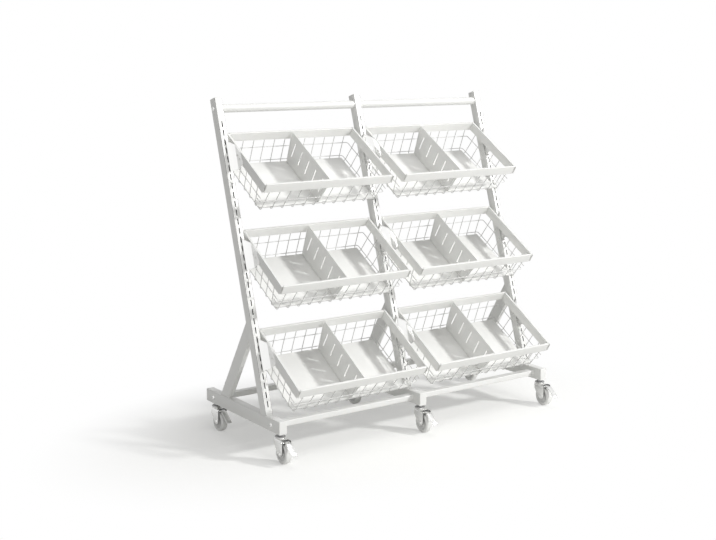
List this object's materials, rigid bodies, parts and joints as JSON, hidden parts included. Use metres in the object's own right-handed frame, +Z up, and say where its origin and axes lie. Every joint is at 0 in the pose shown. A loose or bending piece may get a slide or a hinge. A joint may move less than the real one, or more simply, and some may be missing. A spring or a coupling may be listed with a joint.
{
  "type": "display rack",
  "caption": "Rolling display rack: leaning slotted uprights carry rows of hook-on tilted wire baskets with sliding dividers, on braked swivel castors.",
  "frame": {"origin": "on the floor, in the middle of the rack's length and depth, the castors' brake pedals included", "axes": "+X to the right along the rack seen from the shopper's side, +Y to the back, +Z up; the baskets tilt down towards -Y"},
  "size_m": [1.242, 0.5868, 1.221],
  "materials": {
    "powder_coat": "white powder coat, fine satin",
    "cap_plastic": "white moulded plastic",
    "bright_zinc": "bright zinc plating",
    "castor_wheel": "light grey moulded plastic"
  },
  "bodies": {
    "frame": {"foot_left": "powder_coat", "foot_middle": "powder_coat", "foot_right": "powder_coat", "foot_end_caps": "cap_plastic", "front_rails": "powder_coat", "rear_rails": "powder_coat", "threaded_inserts": "bright_zinc", "rail_bolts": "bright_zinc", "upright_left": "powder_coat", "upright_middle": "powder_coat", "upright_right": "powder_coat", "upright_caps": "cap_plastic", "brace_left": "powder_coat", "brace_middle": "powder_coat", "brace_right": "powder_coat", "crossbars": "powder_coat", "crossbar_bolts": "bright_zinc", "castor_stems": "bright_zinc"},
    "basket_low_left": {"basket_low_left": "powder_coat", "liner_low_left": "powder_coat", "brackets_low_left": "powder_coat"},
    "divider_low_left": {"divider_low_left": "powder_coat"},
    "basket_mid_left": {"basket_mid_left": "powder_coat", "liner_mid_left": "powder_coat", "brackets_mid_left": "powder_coat"},
    "divider_mid_left": {"divider_mid_left": "powder_coat"},
    "basket_top_left": {"basket_top_left": "powder_coat", "liner_top_left": "powder_coat", "brackets_top_left": "powder_coat"},
    "divider_top_left": {"divider_top_left": "powder_coat"},
    "basket_low_right": {"basket_low_right": "powder_coat", "liner_low_right": "powder_coat", "brackets_low_right": "powder_coat"},
    "divider_low_right": {"divider_low_right": "powder_coat"},
    "basket_mid_right": {"basket_mid_right": "powder_coat", "liner_mid_right": "powder_coat", "brackets_mid_right": "powder_coat"},
    "divider_mid_right": {"divider_mid_right": "powder_coat"},
    "basket_top_right": {"basket_top_right": "powder_coat", "liner_top_right": "powder_coat", "brackets_top_right": "powder_coat"},
    "divider_top_right": {"divider_top_right": "powder_coat"},
    "castor_front_left_fork": {"castor_front_left_fork": "bright_zinc"},
    "castor_front_left_wheel": {"castor_front_left_wheel": "castor_wheel"},
    "castor_front_left_pedal": {"castor_front_left_pedal": "bright_zinc"},
    "castor_front_middle_fork": {"castor_front_middle_fork": "bright_zinc"},
    "castor_front_middle_wheel": {"castor_front_middle_wheel": "castor_wheel"},
    "castor_front_middle_pedal": {"castor_front_middle_pedal": "bright_zinc"},
    "castor_front_right_fork": {"castor_front_right_fork": "bright_zinc"},
    "castor_front_right_wheel": {"castor_front_right_wheel": "castor_wheel"},
    "castor_front_right_pedal": {"castor_front_right_pedal": "bright_zinc"},
    "castor_rear_left_fork": {"castor_rear_left_fork": "bright_zinc"},
    "castor_rear_left_wheel": {"castor_rear_left_wheel": "castor_wheel"},
    "castor_rear_left_pedal": {"castor_rear_left_pedal": "bright_zinc"},
    "castor_rear_middle_fork": {"castor_rear_middle_fork": "bright_zinc"},
    "castor_rear_middle_wheel": {"castor_rear_middle_wheel": "castor_wheel"},
    "castor_rear_middle_pedal": {"castor_rear_middle_pedal": "bright_zinc"},
    "castor_rear_right_fork": {"castor_rear_right_fork": "bright_zinc"},
    "castor_rear_right_wheel": {"castor_rear_right_wheel": "castor_wheel"},
    "castor_rear_right_pedal": {"castor_rear_right_pedal": "bright_zinc"}
  },
  "joints": [
    {"name": "lift_low_left", "type": "slide", "parent": "frame", "child": "basket_low_left", "axis": [0, 0.2974, 0.9548], "range_m": [0, 0.008]},
    {"name": "divider_slide_low_left", "type": "slide", "parent": "basket_low_left", "child": "divider_low_left", "axis": [1, 0, 0], "range_m": [-0.225, 0.225]},
    {"name": "lift_mid_left", "type": "slide", "parent": "frame", "child": "basket_mid_left", "axis": [0, 0.2974, 0.9548], "range_m": [0, 0.008]},
    {"name": "divider_slide_mid_left", "type": "slide", "parent": "basket_mid_left", "child": "divider_mid_left", "axis": [1, 0, 0], "range_m": [-0.225, 0.225]},
    {"name": "lift_top_left", "type": "slide", "parent": "frame", "child": "basket_top_left", "axis": [0, 0.2974, 0.9548], "range_m": [0, 0.008]},
    {"name": "divider_slide_top_left", "type": "slide", "parent": "basket_top_left", "child": "divider_top_left", "axis": [1, 0, 0], "range_m": [-0.225, 0.225]},
    {"name": "lift_low_right", "type": "slide", "parent": "frame", "child": "basket_low_right", "axis": [0, 0.2974, 0.9548], "range_m": [0, 0.008]},
    {"name": "divider_slide_low_right", "type": "slide", "parent": "basket_low_right", "child": "divider_low_right", "axis": [1, 0, 0], "range_m": [-0.225, 0.225]},
    {"name": "lift_mid_right", "type": "slide", "parent": "frame", "child": "basket_mid_right", "axis": [0, 0.2974, 0.9548], "range_m": [0, 0.008]},
    {"name": "divider_slide_mid_right", "type": "slide", "parent": "basket_mid_right", "child": "divider_mid_right", "axis": [1, 0, 0], "range_m": [-0.225, 0.225]},
    {"name": "lift_top_right", "type": "slide", "parent": "frame", "child": "basket_top_right", "axis": [0, 0.2974, 0.9548], "range_m": [0, 0.008]},
    {"name": "divider_slide_top_right", "type": "slide", "parent": "basket_top_right", "child": "divider_top_right", "axis": [1, 0, 0], "range_m": [-0.225, 0.225]},
    {"name": "castor_front_left_swivel", "type": "hinge", "parent": "frame", "child": "castor_front_left_fork", "pos_m": [-0.6, -0.2015, 0.098], "axis": [0, 0, 1], "continuous": true},
    {"name": "castor_front_left_roll", "type": "hinge", "parent": "castor_front_left_fork", "child": "castor_front_left_wheel", "pos_m": [-0.6, -0.2255, 0.035], "axis": [1, 0, 0], "continuous": true},
    {"name": "castor_front_left_brake", "type": "hinge", "parent": "castor_front_left_fork", "child": "castor_front_left_pedal", "pos_m": [-0.6, -0.2355, 0.0753], "axis": [1, 0, 0], "range_deg": [0, 12]},
    {"name": "castor_front_middle_swivel", "type": "hinge", "parent": "frame", "child": "castor_front_middle_fork", "pos_m": [0, -0.2015, 0.098], "axis": [0, 0, 1], "continuous": true},
    {"name": "castor_front_middle_roll", "type": "hinge", "parent": "castor_front_middle_fork", "child": "castor_front_middle_wheel", "pos_m": [0, -0.2255, 0.035], "axis": [1, 0, 0], "continuous": true},
    {"name": "castor_front_middle_brake", "type": "hinge", "parent": "castor_front_middle_fork", "child": "castor_front_middle_pedal", "pos_m": [0, -0.2355, 0.0753], "axis": [1, 0, 0], "range_deg": [0, 12]},
    {"name": "castor_front_right_swivel", "type": "hinge", "parent": "frame", "child": "castor_front_right_fork", "pos_m": [0.6, -0.2015, 0.098], "axis": [0, 0, 1], "continuous": true},
    {"name": "castor_front_right_roll", "type": "hinge", "parent": "castor_front_right_fork", "child": "castor_front_right_wheel", "pos_m": [0.6, -0.2255, 0.035], "axis": [1, 0, 0], "continuous": true},
    {"name": "castor_front_right_brake", "type": "hinge", "parent": "castor_front_right_fork", "child": "castor_front_right_pedal", "pos_m": [0.6, -0.2355, 0.0753], "axis": [1, 0, 0], "range_deg": [0, 12]},
    {"name": "castor_rear_left_swivel", "type": "hinge", "parent": "frame", "child": "castor_rear_left_fork", "pos_m": [-0.6, 0.2425, 0.098], "axis": [0, 0, 1], "continuous": true},
    {"name": "castor_rear_left_roll", "type": "hinge", "parent": "castor_rear_left_fork", "child": "castor_rear_left_wheel", "pos_m": [-0.6, 0.2185, 0.035], "axis": [1, 0, 0], "continuous": true},
    {"name": "castor_rear_left_brake", "type": "hinge", "parent": "castor_rear_left_fork", "child": "castor_rear_left_pedal", "pos_m": [-0.6, 0.2085, 0.0753], "axis": [1, 0, 0], "range_deg": [0, 12]},
    {"name": "castor_rear_middle_swivel", "type": "hinge", "parent": "frame", "child": "castor_rear_middle_fork", "pos_m": [0, 0.2425, 0.098], "axis": [0, 0, 1], "continuous": true},
    {"name": "castor_rear_middle_roll", "type": "hinge", "parent": "castor_rear_middle_fork", "child": "castor_rear_middle_wheel", "pos_m": [0, 0.2185, 0.035], "axis": [1, 0, 0], "continuous": true},
    {"name": "castor_rear_middle_brake", "type": "hinge", "parent": "castor_rear_middle_fork", "child": "castor_rear_middle_pedal", "pos_m": [0, 0.2085, 0.0753], "axis": [1, 0, 0], "range_deg": [0, 12]},
    {"name": "castor_rear_right_swivel", "type": "hinge", "parent": "frame", "child": "castor_rear_right_fork", "pos_m": [0.6, 0.2425, 0.098], "axis": [0, 0, 1], "continuous": true},
    {"name": "castor_rear_right_roll", "type": "hinge", "parent": "castor_rear_right_fork", "child": "castor_rear_right_wheel", "pos_m": [0.6, 0.2185, 0.035], "axis": [1, 0, 0], "continuous": true},
    {"name": "castor_rear_right_brake", "type": "hinge", "parent": "castor_rear_right_fork", "child": "castor_rear_right_pedal", "pos_m": [0.6, 0.2085, 0.0753], "axis": [1, 0, 0], "range_deg": [0, 12]}
  ]
}
